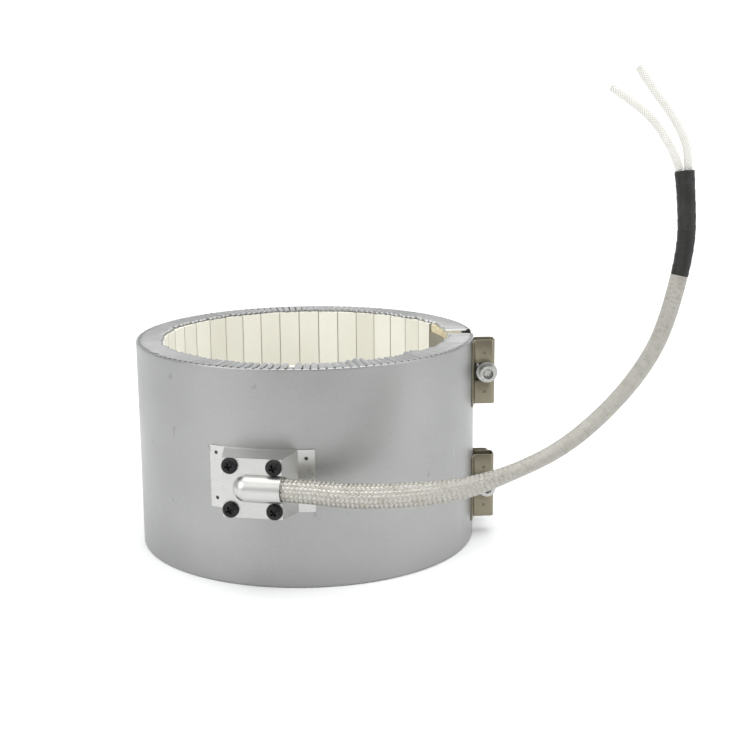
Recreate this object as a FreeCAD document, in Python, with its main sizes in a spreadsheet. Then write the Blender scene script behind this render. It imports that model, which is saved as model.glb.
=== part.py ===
import FreeCAD, Part
import math
import os
import re

import Sketcher

# A ceramic band heater: a split stainless shell with toothed, folded edges, lined with a fibre
# blanket and a ring of ceramic strips that carry the heating wire. Two barrel clamps draw the
# split closed, and a sheet metal box on the shell lets the braided lead out.
# Millimetres, +Z up. The origin is on the bore axis at the base, and the split faces +X.

os.makedirs("parts", exist_ok=True)
doc = FreeCAD.newDocument("BandHeater")
Vector = FreeCAD.Vector
Z_AXIS = Vector(0, 0, 1)

# Lengths are in millimetres and angles in degrees. Angles round the band start at the split.
SIZES = {
    # the band
    "band_radius": 104,
    "band_height": 127,
    "bore_radius": 87,
    "shell_sheet": 0.6,
    "split_gap": 10,
    "fold_radius": 1.2,
    "fold_width": 1.8,
    # the folded teeth
    "tooth_pitch": 2.5,
    "tooth_width": 4.1,
    "tooth_neck": 2.9,
    "tooth_length": 14.4,
    "tooth_corner": 1.1,
    "tooth_lean": 9,
    # lining
    "lining_gap": 0.3,
    "tile_thickness": 9,
    "tile_count": 36,
    "tile_joint": 0.25,
    "cover_span": 23,
    "channel_width": 2.6,
    "channel_offset": 2.6,
    "inner_channel": 4,
    "outer_channel": 2,
    "passage_depth": 4,
    "wire_side": 1.3,
    "cover_sheet": 0.6,
    "cover_height": 114,
    "cover_lip": 5,
    # the clamps
    "upper_clamp": 104.5,
    "lower_clamp": 31.8,
    "clamp_height": 41,
    "strap_sheet": 0.8,
    "strap_foot": 15,
    "loop_near": 7,
    "loop_depth": 11,
    "loop_reach": 12,
    "loop_bend": 2.6,
    "slot_height": 11,
    "slot_cut": 1.4,
    "seat_gap": 0.1,
    "screw_stand": 6.8,
    "barrel_radius": 4.3,
    "barrel_length": 26,
    "screw_radius": 3,
    "screw_hole_gap": 0.3,
    "thread_gap": 0.05,
    "screw_length": 40,
    "screw_head_radius": 5,
    "screw_head_height": 6,
    "hex_flats": 5,
    "hex_depth": 3.2,
    "washer_radius": 6.4,
    "washer_thickness": 1.5,
    # the terminal box
    "box_azimuth": 255.3,
    "box_level": 63.5,
    "box_front": 120,
    "box_face": 34,
    "box_root_width": 45,
    "box_root_height": 36,
    "box_sheet": 1,
    "box_window": 18,
    "flange_span": 16.85,
    "plate_sheet": 1,
    "cable_channel_radius": 7.9,
    "cable_channel_start": 11,
    "box_screw_pitch": 25,
    "box_screw_radius": 2.4,
    "box_screw_length": 9,
    "pan_radius": 4.6,
    "pan_height": 3.2,
    "block_width": 16,
    "block_height": 30,
    "stud_spread": 18,
    "stud_radius": 2,
    "stud_head_radius": 3.2,
    "stud_head_height": 2,
    # the leads
    "braid_radius": 6.5,
    "sleeve_radius": 5.6,
    "lead_radius": 2.2,
    "run_share": 0.45,
}

sheet = doc.addObject("Spreadsheet::Sheet", "Sizes")
for row, (alias, value) in enumerate(SIZES.items(), start=1):
    sheet.set(f"A{row}", alias)
    sheet.set(f"B{row}", str(value))
    sheet.setAlias(f"B{row}", alias)
doc.recompute()


def formula(words):
    """Expression text in which each name of a size points at its cell."""
    return re.sub(r"[a-z_]+", lambda m: "Sizes." + m[0] if m[0] in SIZES else m[0], words)


def size(words):
    """Number that an expression on the sheet gives."""
    value = sheet.evalExpression(formula(words))
    return float(getattr(value, "Value", value))


def bind(thing, prop, words):
    thing.setExpression(prop, formula(words))


# ---- helpers for bodies -------------------------------------------------------------------

def new_body(name):
    body = doc.addObject("PartDesign::Body", name)
    body.Label = name
    return body


def start_sketch(body, name, role, lift="0", turn="0", turn_axis=(0, 1, 0)):
    """Empty sketch on one of the body's planes, lifted along its normal and then turned."""
    sketch = body.newObject("Sketcher::SketchObject", name)
    plane = [item for item in body.Origin.OriginFeatures if item.Role == role][0]
    sketch.AttachmentSupport = (plane, [""])
    sketch.MapMode = "FlatFace"
    turning = FreeCAD.Rotation(Vector(*turn_axis), size(turn))
    sketch.AttachmentOffset = FreeCAD.Placement(Vector(0, 0, size(lift)), turning)
    if lift != "0":
        bind(sketch, "AttachmentOffset.Base.z", lift)
    if turn != "0":
        bind(sketch, "AttachmentOffset.Rotation.Angle", turn)
    return sketch


def add_outline(sketch, corners):
    """Closed outline of straight lines. Each corner is a pair of expressions on the sheet."""
    points = [Vector(size(across), size(up), 0) for across, up in corners]
    first = sketch.GeometryCount
    count = len(points)
    for index in range(count):
        sketch.addGeometry(Part.LineSegment(points[index], points[(index + 1) % count]), False)
    for index in range(count):
        line = first + index
        following = first + (index + 1) % count
        sketch.addConstraint(Sketcher.Constraint("Coincident", line, 2, following, 1))
        for kind, place, words in zip(("DistanceX", "DistanceY"), points[index], corners[index]):
            mark = Sketcher.Constraint(kind, -1, 1, line, 1, place)
            bind(sketch, f"Constraints[{sketch.addConstraint(mark)}]", words)


def add_circle(sketch, across, up, radius):
    """Circle whose centre and radius follow expressions on the sheet."""
    centre = Vector(size(across), size(up), 0)
    index = sketch.addGeometry(Part.Circle(centre, Z_AXIS, size(radius)), False)
    for kind, place, words in zip(("DistanceX", "DistanceY"), centre, (across, up)):
        mark = Sketcher.Constraint(kind, -1, 1, index, 3, place)
        bind(sketch, f"Constraints[{sketch.addConstraint(mark)}]", words)
    mark = Sketcher.Constraint("Radius", index, size(radius))
    bind(sketch, f"Constraints[{sketch.addConstraint(mark)}]", radius)


def rectangle(left, right, low, high):
    return [(left, low), (right, low), (right, high), (left, high)]


def sector(body, name, kind, corners, sweep, start="0"):
    """Feature that turns an outline of (radius, level) corners about Z, from start by sweep."""
    sketch = start_sketch(body, name + "_section", "XZ_Plane", turn=start)
    add_outline(sketch, corners)
    feature = body.newObject("PartDesign::" + kind, name)
    feature.Profile = sketch
    feature.ReferenceAxis = (sketch, ["V_Axis"])
    bind(feature, "Angle", sweep)
    return feature


def prism(body, name, kind, sketch, length, both_ways=False, reverse=False, through=False):
    """Pad or Pocket of a sketch."""
    feature = body.newObject("PartDesign::" + kind, name)
    feature.Profile = sketch
    if through:
        feature.Type = "ThroughAll"
    else:
        bind(feature, "Length", length)
    feature.Midplane = both_ways
    feature.Reversed = reverse
    return feature


def place(thing, turn="0", lift="0", flip=False):
    """Stand a finished piece at its angle and level. A flipped piece is first turned over X."""
    over = FreeCAD.Rotation(Vector(1, 0, 0), 180 if flip else 0)
    thing.Placement = FreeCAD.Placement(Vector(0, 0, size(lift)), over)
    if lift != "0":
        bind(thing, "Placement.Base.z", lift)
    if turn != "0":
        thing.Placement = FreeCAD.Placement(Vector(0, 0, size(lift)), FreeCAD.Rotation(Z_AXIS, size(turn)))
        bind(thing, "Placement.Rotation.Angle", turn)


# ---- outer shell ---------------------------------------------------------------------------
# One sheet, rolled to an open ring. Both edges are cut into teeth and folded in over the lining.
# Each tooth is a little wider than its pitch at the bore, so the teeth lean and lap like slates.

SPLIT_HALF = "(asin(split_gap / 2 / band_radius) / 1 deg)"
BAND_SWEEP = f"(360 - 2 * {SPLIT_HALF})"
TOOTH_COUNT = f"floor({BAND_SWEEP} / tooth_pitch)"
FIRST_TOOTH = f"(({BAND_SWEEP} - ({TOOTH_COUNT} - 1) * tooth_pitch) / 2)"
TOOTH_RISE = "tooth_width / 2 * sin(tooth_lean)"
TOOTH_LEVEL = f"(shell_sheet / 2 + {TOOTH_RISE})"
TOOTH_ROOT = "(band_radius - (fold_radius + fold_width) / 2)"
SHELL_INNER = "(band_radius - shell_sheet)"
FOLD_DEPTH = f"(shell_sheet + 2 * {TOOTH_RISE})"


def teeth(body, name, level):
    """One folded tooth and its copies round the band."""
    sketch = start_sketch(body, name + "_outline", "XY_Plane", level, "tooth_lean", (1, 0, 0))
    tip = f"{TOOTH_ROOT} - tooth_length"
    half_outline = [
        (TOOTH_ROOT, "tooth_neck / 2"),
        (f"{tip} + tooth_corner", "tooth_width / 2"),
        (tip, "tooth_width / 2 - tooth_corner"),
    ]
    other_half = [(across, f"-({up})") for across, up in reversed(half_outline)]
    add_outline(sketch, half_outline + other_half)
    tooth = prism(body, name, "Pad", sketch, "shell_sheet", both_ways=True)
    row = body.newObject("PartDesign::PolarPattern", name + "_row")
    row.Originals = [tooth]
    row.Axis = (body.Origin.OriginFeatures[2], [""])
    bind(row, "Occurrences", TOOTH_COUNT)
    bind(row, "Angle", f"({TOOTH_COUNT} - 1) * tooth_pitch")
    body.Tip = row
    doc.recompute()


def make_window(name, reach_in, reach_out):
    """Block that cuts the terminal window through the shell or the blanket behind the box."""
    block = doc.addObject("Part::Box", name)
    bind(block, "Length", f"{reach_out} - ({reach_in})")
    bind(block, "Width", "box_window")
    bind(block, "Height", "box_window + stud_spread / 2")
    turn = FreeCAD.Rotation(Z_AXIS, size("box_azimuth"))
    corner = Vector(size(reach_in), -size("box_window") / 2, 0)
    block.Placement = FreeCAD.Placement(turn.multVec(corner), turn)
    across = f"({reach_in})", "(box_window / 2)"
    bind(block, "Placement.Base.x", f"{across[0]} * cos(box_azimuth) + {across[1]} * sin(box_azimuth)")
    bind(block, "Placement.Base.y", f"{across[0]} * sin(box_azimuth) - {across[1]} * cos(box_azimuth)")
    bind(block, "Placement.Base.z", "box_level - (box_window + stud_spread / 2) / 2")
    bind(block, "Placement.Rotation.Angle", "box_azimuth")
    return block


def cut(name, base, tool):
    result = doc.addObject("Part::Cut", name)
    result.Label = name
    result.Base = base
    result.Tool = tool
    return result


def bend(level, sign):
    """Outer corners of a fold, from the wall to the flat lip, in three steps of its quarter turn."""
    return [(f"band_radius - fold_radius * (1 - cos({angle}))",
             f"{level} + {sign} * fold_radius * (1 - sin({angle}))") for angle in (0, 45, 90)]


def make_outer_shell():
    body = new_body("shell_band")
    lip = "band_radius - fold_width"
    low, high = FOLD_DEPTH, f"band_height - {FOLD_DEPTH}"
    section = bend("band_height", -1) + [(lip, "band_height"), (lip, high), (SHELL_INNER, high),
                                         (SHELL_INNER, low), (lip, low), (lip, "0")] + bend("0", 1)[::-1]
    sector(body, "wall", "Revolution", section, BAND_SWEEP, start=f"-{FIRST_TOOTH}")
    teeth(body, "top_tooth", f"band_height - {TOOTH_LEVEL}")
    teeth(body, "bottom_tooth", TOOTH_LEVEL)
    place(body, turn=f"{SPLIT_HALF} + {FIRST_TOOTH}")
    window = make_window("shell_window", "band_radius - 4", "band_radius + 4")
    return cut("outer_shell", body, window)


# ---- lining: blanket, ceramic strips and heating wire ---------------------------------------
# The strips stand side by side round the bore. Wire channels run up their backs, and a step at
# each end lets the wire cross from strip to strip. The blanket closes the channels from behind.

LINING_LOW = f"({TOOTH_LEVEL} * 2 + lining_gap)"
LINING_HIGH = f"(band_height - {LINING_LOW})"
TILE_OUTER = "(bore_radius + tile_thickness)"
TILE_PITCH = "((360 - 2 * cover_span) / tile_count)"
COVER_WALL = "(cover_sheet / bore_radius * 180 / pi)"
BLANKET_START = f"({SPLIT_HALF} + (cover_sheet + lining_gap) / bore_radius * 180 / pi)"
BLANKET_END = "(cover_span - (2 * lining_gap + cover_sheet) / bore_radius * 180 / pi)"


def make_blanket():
    body = new_body("blanket_roll")
    back = rectangle(f"{TILE_OUTER} + lining_gap", f"{SHELL_INNER} - lining_gap", LINING_LOW, LINING_HIGH)
    sector(body, "roll", "Revolution", back, f"360 - 2 * {BLANKET_START}", start=BLANKET_START)
    pad = rectangle("bore_radius + cover_sheet + lining_gap", f"{TILE_OUTER} + 1", LINING_LOW, LINING_HIGH)
    span = f"{BLANKET_END} - {BLANKET_START}"
    sector(body, "first_end", "Revolution", pad, span, start=BLANKET_START)
    sector(body, "last_end", "Revolution", pad, span, start=f"360 - {BLANKET_END}")
    window = make_window("blanket_window", f"{TILE_OUTER} - 2", "band_radius + 1")
    return cut("insulation_blanket", body, window)


def make_tile(number):
    body = new_body(f"ceramic_tile_{number:02d}")
    front, back = "bore_radius - 1", f"{TILE_OUTER} * cos({TILE_PITCH} / 2)"
    sides = [f"({across}) * tan({TILE_PITCH} / 2) - tile_joint / 2" for across in (front, back)]
    outline = [(front, f"-({sides[0]})"), (back, f"-({sides[1]})")]
    for depth, middle in (("outer_channel", "-channel_offset"), ("inner_channel", "channel_offset")):
        floor = f"{TILE_OUTER} - {depth}"
        left, right = f"{middle} - channel_width / 2", f"{middle} + channel_width / 2"
        outline += [(back, left), (floor, left), (floor, right), (back, right)]
    outline += [(back, sides[1]), (front, sides[0])]
    section = start_sketch(body, "section", "XY_Plane", LINING_LOW)
    add_outline(section, outline)
    prism(body, "strip", "Pad", section, f"{LINING_HIGH} - {LINING_LOW}")
    steps = start_sketch(body, "steps_outline", "XZ_Plane")
    floor = f"{TILE_OUTER} - inner_channel - lining_gap"
    for low, high in (("0", f"{LINING_LOW} + passage_depth"),
                      (f"{LINING_HIGH} - passage_depth", "band_height")):
        add_outline(steps, rectangle(floor, f"{TILE_OUTER} + 1", low, high))
    prism(body, "end_steps", "Pocket", steps, None, both_ways=True, through=True)
    bore = rectangle("bore_radius - 2", "bore_radius", "0", "band_height")
    sector(body, "bore_face", "Groove", bore, f"2 * {TILE_PITCH}", start=f"-{TILE_PITCH}")
    place(body, turn=f"cover_span + ({number} - 0.5) * {TILE_PITCH}")
    return body


def wire_path():
    """Corners of the heating wire: out along the inner lane and back along the outer one."""
    lanes = {}
    for lane, depth, side in (("inner", "inner_channel", 1), ("outer", "outer_channel", -1)):
        radius = size(f"{TILE_OUTER} - {depth} + wire_side * 0.6 + seat_gap")
        lanes[lane] = radius, size(f"{side} * channel_offset / {TILE_OUTER} * 180 / pi")
    levels = size(f"{LINING_LOW} + passage_depth / 2"), size(f"{LINING_HIGH} - passage_depth / 2")
    pitch, first = size(TILE_PITCH), size(f"cover_span + {TILE_PITCH} / 2")
    count = round(size("tile_count"))
    door = round((size("box_azimuth") - first) / pitch)

    def corner(lane, tile, level):
        radius, offset = lanes[lane]
        angle = math.radians(first + tile * pitch + offset)
        return Vector(radius * math.cos(angle), radius * math.sin(angle), level)

    def run(lane, tiles, at_top):
        """Up one tile and down the next; at_top says where the first tile is entered."""
        corners = []
        for tile in tiles:
            ends = [levels[1], levels[0]] if at_top else levels
            corners += [corner(lane, tile, level) for level in ends]
            at_top = not at_top
        return corners, at_top

    reach = size("band_radius + seat_gap")
    spread = size("stud_spread") / 2
    studs = [corner("inner", door, size("box_level") + shift) for shift in (spread, -spread)]
    outside = [stud + Vector(stud.x, stud.y, 0).normalize() * (reach - lanes["inner"][0]) for stud in studs]
    corners = [outside[0], studs[0], corner("inner", door, levels[1])]
    leg, at_top = run("inner", range(door - 1, -1, -1), True)
    corners += leg
    leg, at_top = run("outer", range(count), at_top)
    corners += leg
    leg, at_top = run("inner", range(count - 1, door, -1), at_top)
    corners += leg
    last = levels[1] if at_top else levels[0]
    corners += [corner("inner", door, last), studs[1], outside[1]]
    return corners


def make_heating_element():
    """Square resistance wire, mitred at every corner of its way up and down the strips."""
    corners = wire_path()
    along = (corners[1] - corners[0]).normalize()
    half = size("wire_side / 2")
    across, up = along.cross(Z_AXIS) * half, Z_AXIS * half
    square = Part.makePolygon([corners[0] + side * across + rise * up
                               for side, rise in ((1, 1), (-1, 1), (-1, -1), (1, -1), (1, 1))])
    sweep = Part.BRepOffsetAPI.MakePipeShell(Part.makePolygon(corners))
    sweep.setTransitionMode(1)
    sweep.add(square)
    sweep.build()
    sweep.makeSolid()
    wire = doc.addObject("Part::Feature", "heating_element")
    wire.Label = "heating_element"
    wire.Shape = sweep.shape()
    return wire


def make_end_cover(name, flip):
    """Folded sheet cover over one end of the lining, beside the split."""
    body = new_body(name)
    low, high = "(band_height - cover_height) / 2", "(band_height + cover_height) / 2"
    sweep = f"cover_span - {SPLIT_HALF} - tile_joint"
    skin = rectangle("bore_radius", "bore_radius + cover_sheet", low, high)
    sector(body, "skin", "Revolution", skin, sweep, start=SPLIT_HALF)
    wall = rectangle("bore_radius", f"{SHELL_INNER} - lining_gap", low, high)
    sector(body, "end_wall", "Revolution", wall, COVER_WALL, start=SPLIT_HALF)
    lip = rectangle("bore_radius", "bore_radius + cover_lip", low, high)
    sector(body, "lip", "Revolution", lip, COVER_WALL, start=f"cover_span - tile_joint - {COVER_WALL}")
    place(body, lift="band_height" if flip else "0", flip=flip)
    return body


# ---- clamps ---------------------------------------------------------------------------------
# Each clamp has a strap either side of the split: a foot spot-welded to the shell and a loop
# that holds a barrel. The screw passes the near barrel and draws up the threaded far one.

CLAMP_AXIS = "(band_radius + screw_stand)"
BARREL_SIDE = "(loop_near + loop_depth / 2)"
LOOP_FRONT = "(loop_near + loop_depth)"


def make_strap(name, level, flip):
    body = new_body(name)
    sketch = start_sketch(body, "loop_outline", "XY_Plane")
    foot, reach = "band_radius - 4", "band_radius + loop_reach"
    add_outline(sketch, rectangle(foot, reach, f"-{LOOP_FRONT}", "-loop_near"))
    add_outline(sketch, rectangle(f"{foot} + strap_sheet", f"{reach} - strap_sheet",
                                  f"-{LOOP_FRONT} + strap_sheet", "-loop_near - strap_sheet"))
    loop = prism(body, "loop", "Pad", sketch, "clamp_height", both_ways=True)
    doc.recompute()
    for turn, radius, across in (("outer_bend", "loop_bend", reach),
                                 ("inner_bend", "loop_bend - strap_sheet", f"{reach} - strap_sheet")):
        edges = [f"Edge{index}" for index, edge in enumerate(loop.Shape.Edges, start=1)
                 if is_upright(edge) and abs(edge.Vertexes[0].X - size(across)) < 1e-4]
        rounding = body.newObject("PartDesign::Fillet", turn)
        rounding.Base = (loop, edges)
        bind(rounding, "Radius", radius)
        doc.recompute()
        loop = rounding
    half = "clamp_height / 2"
    inside = rectangle("bore_radius", "band_radius + seat_gap", f"-{half} - 1", f"{half} + 1")
    sector(body, "shell_clearance", "Groove", inside, "2 * strap_foot", start="-2 * strap_foot")
    seat = rectangle("band_radius + seat_gap", "band_radius + seat_gap + strap_sheet", f"-{half}", half)
    foot_sweep = "strap_foot - asin(loop_near / band_radius) / 1 deg"
    sector(body, "foot", "Revolution", seat, foot_sweep, start="-strap_foot")
    opening = start_sketch(body, "slot_outline", "XZ_Plane")
    add_outline(opening, rectangle("band_radius - slot_cut", f"{CLAMP_AXIS} + screw_radius + screw_hole_gap",
                                   "-slot_height / 2", "slot_height / 2"))
    prism(body, "slot", "Pocket", opening, None, both_ways=True, through=True)
    place(body, lift=level, flip=flip)
    return body


def is_upright(edge):
    first, last = edge.Vertexes[0].Point, edge.Vertexes[-1].Point
    return abs(first.x - last.x) < 1e-6 and abs(first.y - last.y) < 1e-6


def rod(name, radius, length, base, turn=None):
    """Cylinder from a base point, upright unless it is turned; all its numbers follow the sheet."""
    thing = doc.addObject("Part::Cylinder", name)
    bind(thing, "Radius", radius)
    bind(thing, "Height", length)
    thing.Placement = FreeCAD.Placement(Vector(*[size(words) for words in base]), turn or FreeCAD.Rotation())
    for axis, words in zip("xyz", base):
        bind(thing, f"Placement.Base.{axis}", words)
    return thing


ALONG_Y = FreeCAD.Rotation(Vector(1, 0, 0), -90)


def make_barrel(name, level, side, hole_radius):
    across = f"({side} * {BARREL_SIDE})"
    pin = rod(name + "_pin", "barrel_radius", "barrel_length",
              (CLAMP_AXIS, across, f"{level} - barrel_length / 2"))
    hole = rod(name + "_hole", hole_radius, "4 * barrel_radius",
               (CLAMP_AXIS, f"{across} - 2 * barrel_radius", level), ALONG_Y)
    return cut(name, pin, hole)


def make_clamp_screw(name, level):
    """Socket head screw with its washer, along Y through both barrels."""
    body = new_body(name + "_bolt")
    under_head = f"({LOOP_FRONT} + washer_thickness)"
    head = start_sketch(body, "head_circle", "XZ_Plane", under_head)
    add_circle(head, CLAMP_AXIS, "0", "screw_head_radius")
    prism(body, "head", "Pad", head, "screw_head_height")
    shank = start_sketch(body, "shank_circle", "XZ_Plane", under_head)
    add_circle(shank, CLAMP_AXIS, "0", "screw_radius")
    prism(body, "shank", "Pad", shank, "screw_length", reverse=True)
    socket = start_sketch(body, "hexagon", "XZ_Plane", f"{under_head} + screw_head_height")
    corners = [(f"{CLAMP_AXIS} + hex_flats / sqrt(3) * cos({60 * index})",
                f"hex_flats / sqrt(3) * sin({60 * index})") for index in range(6)]
    add_outline(socket, corners)
    prism(body, "socket", "Pocket", socket, "hex_depth")
    place(body, lift=level)
    seat = (CLAMP_AXIS, f"-{under_head}", level)
    disc = rod(name + "_washer_disc", "washer_radius", "washer_thickness", seat, ALONG_Y)
    eye = rod(name + "_washer_eye", "screw_radius + screw_hole_gap", "washer_thickness", seat, ALONG_Y)
    washer = cut(name + "_washer", disc, eye)
    group = doc.addObject("Part::Compound", name)
    group.Label = name
    group.Links = [body, washer]
    return group


def make_clamp(word):
    level = word + "_clamp"
    return [
        make_strap(word + "_near_strap", level, False),
        make_strap(word + "_far_strap", level, True),
        make_barrel(word + "_near_barrel", level, -1, "screw_radius + screw_hole_gap"),
        make_barrel(word + "_far_barrel", level, 1, "screw_radius + thread_gap"),
        make_clamp_screw(word + "_clamp_screw", level),
    ]


# ---- terminal box ---------------------------------------------------------------------------
# Modelled facing +X and then turned to its place on the shell. The box is one pressed sheet with
# tapered walls and two welded flanges; its cover has a half-round channel for the braid.

FACE_HALF = "box_face / 2"
BRAID_NOTCH = "(braid_radius + lining_gap)"
BLOCK_FRONT = f"(box_front - {BRAID_NOTCH})"


def four_screws():
    return [(f"{across} * box_screw_pitch / 2", f"box_level + {up} * box_screw_pitch / 2")
            for across in (-1, 1) for up in (-1, 1)]


def taper(body, name, kind, root, face, root_inset, face_inset):
    """Loft between the box's root and its face, each drawn in by an inset."""
    sketches = []
    for part, level, width, tall, inset in (
        ("root", root, "box_root_width / 2", "box_root_height / 2", root_inset),
        ("face", face, FACE_HALF, FACE_HALF, face_inset),
    ):
        sketch = start_sketch(body, f"{name}_{part}", "YZ_Plane", level)
        add_outline(sketch, rectangle(f"-{width} + {inset}", f"{width} - {inset}",
                                      f"box_level - {tall} + {inset}", f"box_level + {tall} - {inset}"))
        sketches.append(sketch)
    feature = body.newObject("PartDesign::" + kind, name)
    feature.Profile = sketches[0]
    feature.Sections = [sketches[1]]
    feature.Ruled = True
    return feature


def make_bracket():
    body = new_body("terminal_bracket")
    low, high = "box_level - box_root_height / 2", "box_level + box_root_height / 2"
    inner, outer = "band_radius + seat_gap", "band_radius + seat_gap + box_sheet"
    sector(body, "flange", "Revolution", rectangle(inner, outer, low, high),
           "2 * flange_span", start="-flange_span")
    taper(body, "walls", "AdditiveLoft", "band_radius - 6", "box_front", "0", "0")
    taper(body, "hollow", "SubtractiveLoft", "band_radius - 7", "box_front - box_sheet",
          "box_sheet", "box_sheet")
    below = rectangle("bore_radius", inner, f"{low} - 2", f"{high} + 2")
    sector(body, "shell_clearance", "Groove", below, "3 * flange_span", start="-1.5 * flange_span")
    window = start_sketch(body, "window_outline", "YZ_Plane", "box_front")
    add_outline(window, rectangle("-box_window / 2", "box_window / 2",
                                  "box_level - box_window / 2", "box_level + box_window / 2"))
    prism(body, "window", "Pocket", window, "2 * box_sheet")
    holes = start_sketch(body, "screw_holes", "YZ_Plane", "box_front")
    for across, up in four_screws():
        add_circle(holes, across, up, "box_screw_radius + thread_gap")
    prism(body, "tapped_holes", "Pocket", holes, "2 * box_sheet")
    notch = start_sketch(body, "notch_circle", "XZ_Plane")
    add_circle(notch, "box_front", "box_level", BRAID_NOTCH)
    prism(body, "braid_notch", "Pocket", notch, "box_root_width", reverse=False)
    place(body, turn="box_azimuth")
    return body


def make_cover():
    """Cover plate with a round-ended channel that opens at the side where the braid leaves."""
    plate = doc.addObject("Part::Box", "cover_plate")
    for prop, words in (("Length", "plate_sheet"), ("Width", "box_face"), ("Height", "box_face"),
                        ("Placement.Base.x", "box_front"), ("Placement.Base.y", f"-{FACE_HALF}"),
                        ("Placement.Base.z", f"box_level - {FACE_HALF}")):
        bind(plate, prop, words)
    start = "(cable_channel_radius - cable_channel_start)"
    axis = ("box_front", start, "box_level")
    bulge = doc.addObject("Part::MultiFuse", "cover_bulge")
    bulge.Shapes = [rod("cover_channel", "cable_channel_radius", f"box_face / 2 - {start}", axis, ALONG_Y),
                    ball("cover_channel_end", "cable_channel_radius", axis)]
    hollow = rod("cover_hollow", "cable_channel_radius - plate_sheet", f"box_face - {start}", axis, ALONG_Y)
    back = doc.addObject("Part::Box", "cover_back")
    for prop, words in (("Length", "2 * cable_channel_radius"), ("Width", "2 * box_face"),
                        ("Height", "2 * box_face"),
                        ("Placement.Base.x", "box_front - 2 * cable_channel_radius"),
                        ("Placement.Base.y", "-box_face"), ("Placement.Base.z", "box_level - box_face")):
        bind(back, prop, words)
    solid = doc.addObject("Part::MultiFuse", "cover_solid")
    solid.Shapes = [plate, bulge]
    holes = [rod(f"cover_hole_{number}", "box_screw_radius + screw_hole_gap", "4 * plate_sheet",
                 ("box_front - plate_sheet", across, up), FreeCAD.Rotation(Vector(0, 1, 0), 90))
             for number, (across, up) in enumerate(four_screws(), start=1)]
    waste = doc.addObject("Part::MultiFuse", "cover_waste")
    waste.Shapes = [hollow, back] + holes
    cover = cut("terminal_cover", solid, waste)
    place(cover, turn="box_azimuth")
    return cover


def ball(name, radius, centre):
    thing = doc.addObject("Part::Sphere", name)
    bind(thing, "Radius", radius)
    for axis, words in zip("xyz", centre):
        bind(thing, f"Placement.Base.{axis}", words)
    return thing


def make_cover_screws():
    """Four black pan head screws, one solid each."""
    body = new_body("terminal_cover_screws")
    body.AllowCompound = True
    seat = "box_front + plate_sheet"
    heads = start_sketch(body, "head_circles", "YZ_Plane", seat)
    shanks = start_sketch(body, "shank_circles", "YZ_Plane", seat)
    for across, up in four_screws():
        add_circle(heads, across, up, "pan_radius")
        add_circle(shanks, across, up, "box_screw_radius")
    prism(body, "heads", "Pad", heads, "pan_height")
    prism(body, "shanks", "Pad", shanks, "box_screw_length", reverse=True)
    place(body, turn="box_azimuth")
    return body


def make_terminal_block():
    """Ceramic block on the shell inside the box, bored for its two studs."""
    body = new_body("terminal_block")
    outline = start_sketch(body, "block_outline", "YZ_Plane", BLOCK_FRONT)
    add_outline(outline, rectangle("-block_width / 2", "block_width / 2",
                                   "box_level - block_height / 2", "box_level + block_height / 2"))
    prism(body, "block", "Pad", outline, f"{BLOCK_FRONT} - band_radius - seat_gap", reverse=True)
    bores = start_sketch(body, "stud_circles", "YZ_Plane", BLOCK_FRONT)
    for side in (-1, 1):
        add_circle(bores, "0", f"box_level + {side} * stud_spread / 2", "stud_radius + thread_gap")
    prism(body, "stud_bores", "Pocket", bores, None, through=True)
    place(body, turn="box_azimuth")
    return body


def make_terminal_studs():
    """Two brass screws in the block, which clamp the wire ends and the leads."""
    body = new_body("terminal_studs")
    body.AllowCompound = True
    for name, radius, length, reverse in (
        ("stud_heads", "stud_head_radius", "stud_head_height", False),
        ("stud_shanks", "stud_radius", f"{BLOCK_FRONT} - band_radius - 2 * seat_gap", True),
    ):
        circles = start_sketch(body, name + "_circles", "YZ_Plane", BLOCK_FRONT)
        for side in (-1, 1):
            add_circle(circles, "0", f"box_level + {side} * stud_spread / 2", radius)
        prism(body, name, "Pad", circles, length, reverse=reverse)
    place(body, turn="box_azimuth")
    return body


# ---- leads ----------------------------------------------------------------------------------
# The braid leaves along the box's side and stands out in one stiff sweep, up to a black sleeve
# from which the two white leads come out and part.

BRAID_ROUTE = [(-30.4, -116.1, 63.5), (-3.4, -123.2, 63.3), (24, -131.8, 62.2), (52, -138.7, 64.4),
               (81, -143, 68), (108, -145, 77.5), (134, -145, 90), (157, -143.5, 109),
               (176, -142, 131), (189, -140, 155.2), (195, -137.2, 180)]
SLEEVE_ROUTE = [(195.1, -137.2, 180.2), (198.2, -135.7, 193), (198.9, -134.8, 211), (196.6, -134.2, 234)]
LEAD_ROUTES = {
    "white_lead_a": [(198.6, -134.2, 234.4), (198.4, -134, 244.5), (193.8, -133.6, 255.5), (187, -133.2, 266),
                     (178.5, -132.5, 276.5), (171.7, -132, 287)],
    "white_lead_b": [(194.1, -134.1, 234.4), (191.8, -134, 241.5), (186.5, -134, 250.5), (179.5, -134, 260.5),
                     (168, -134, 270), (157.7, -134, 276.8)],
}


def rounded_path(points):
    """Straight runs joined by tangent arcs, each as large as its two runs allow."""
    points = [Vector(*point) for point in points]
    share = size("run_share")
    edges, radii, here = [], [], points[0]
    for before, corner, after in zip(points, points[1:], points[2:]):
        arriving, leaving = corner - before, after - corner
        reach = share * min(arriving.Length, leaving.Length)
        half_turn = arriving.getAngle(leaving) / 2
        arriving.normalize()
        leaving.normalize()
        start, end = corner - arriving * reach, corner + leaving * reach
        radius = reach / math.tan(half_turn)
        inward = (leaving - arriving).normalize()
        middle = corner + inward * (radius / math.cos(half_turn) - radius)
        edges += [Part.LineSegment(here, start).toShape(), Part.Arc(start, middle, end).toShape()]
        radii.append(radius)
        here = end
    edges.append(Part.LineSegment(here, points[-1]).toShape())
    return Part.Wire(edges), radii


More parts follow.
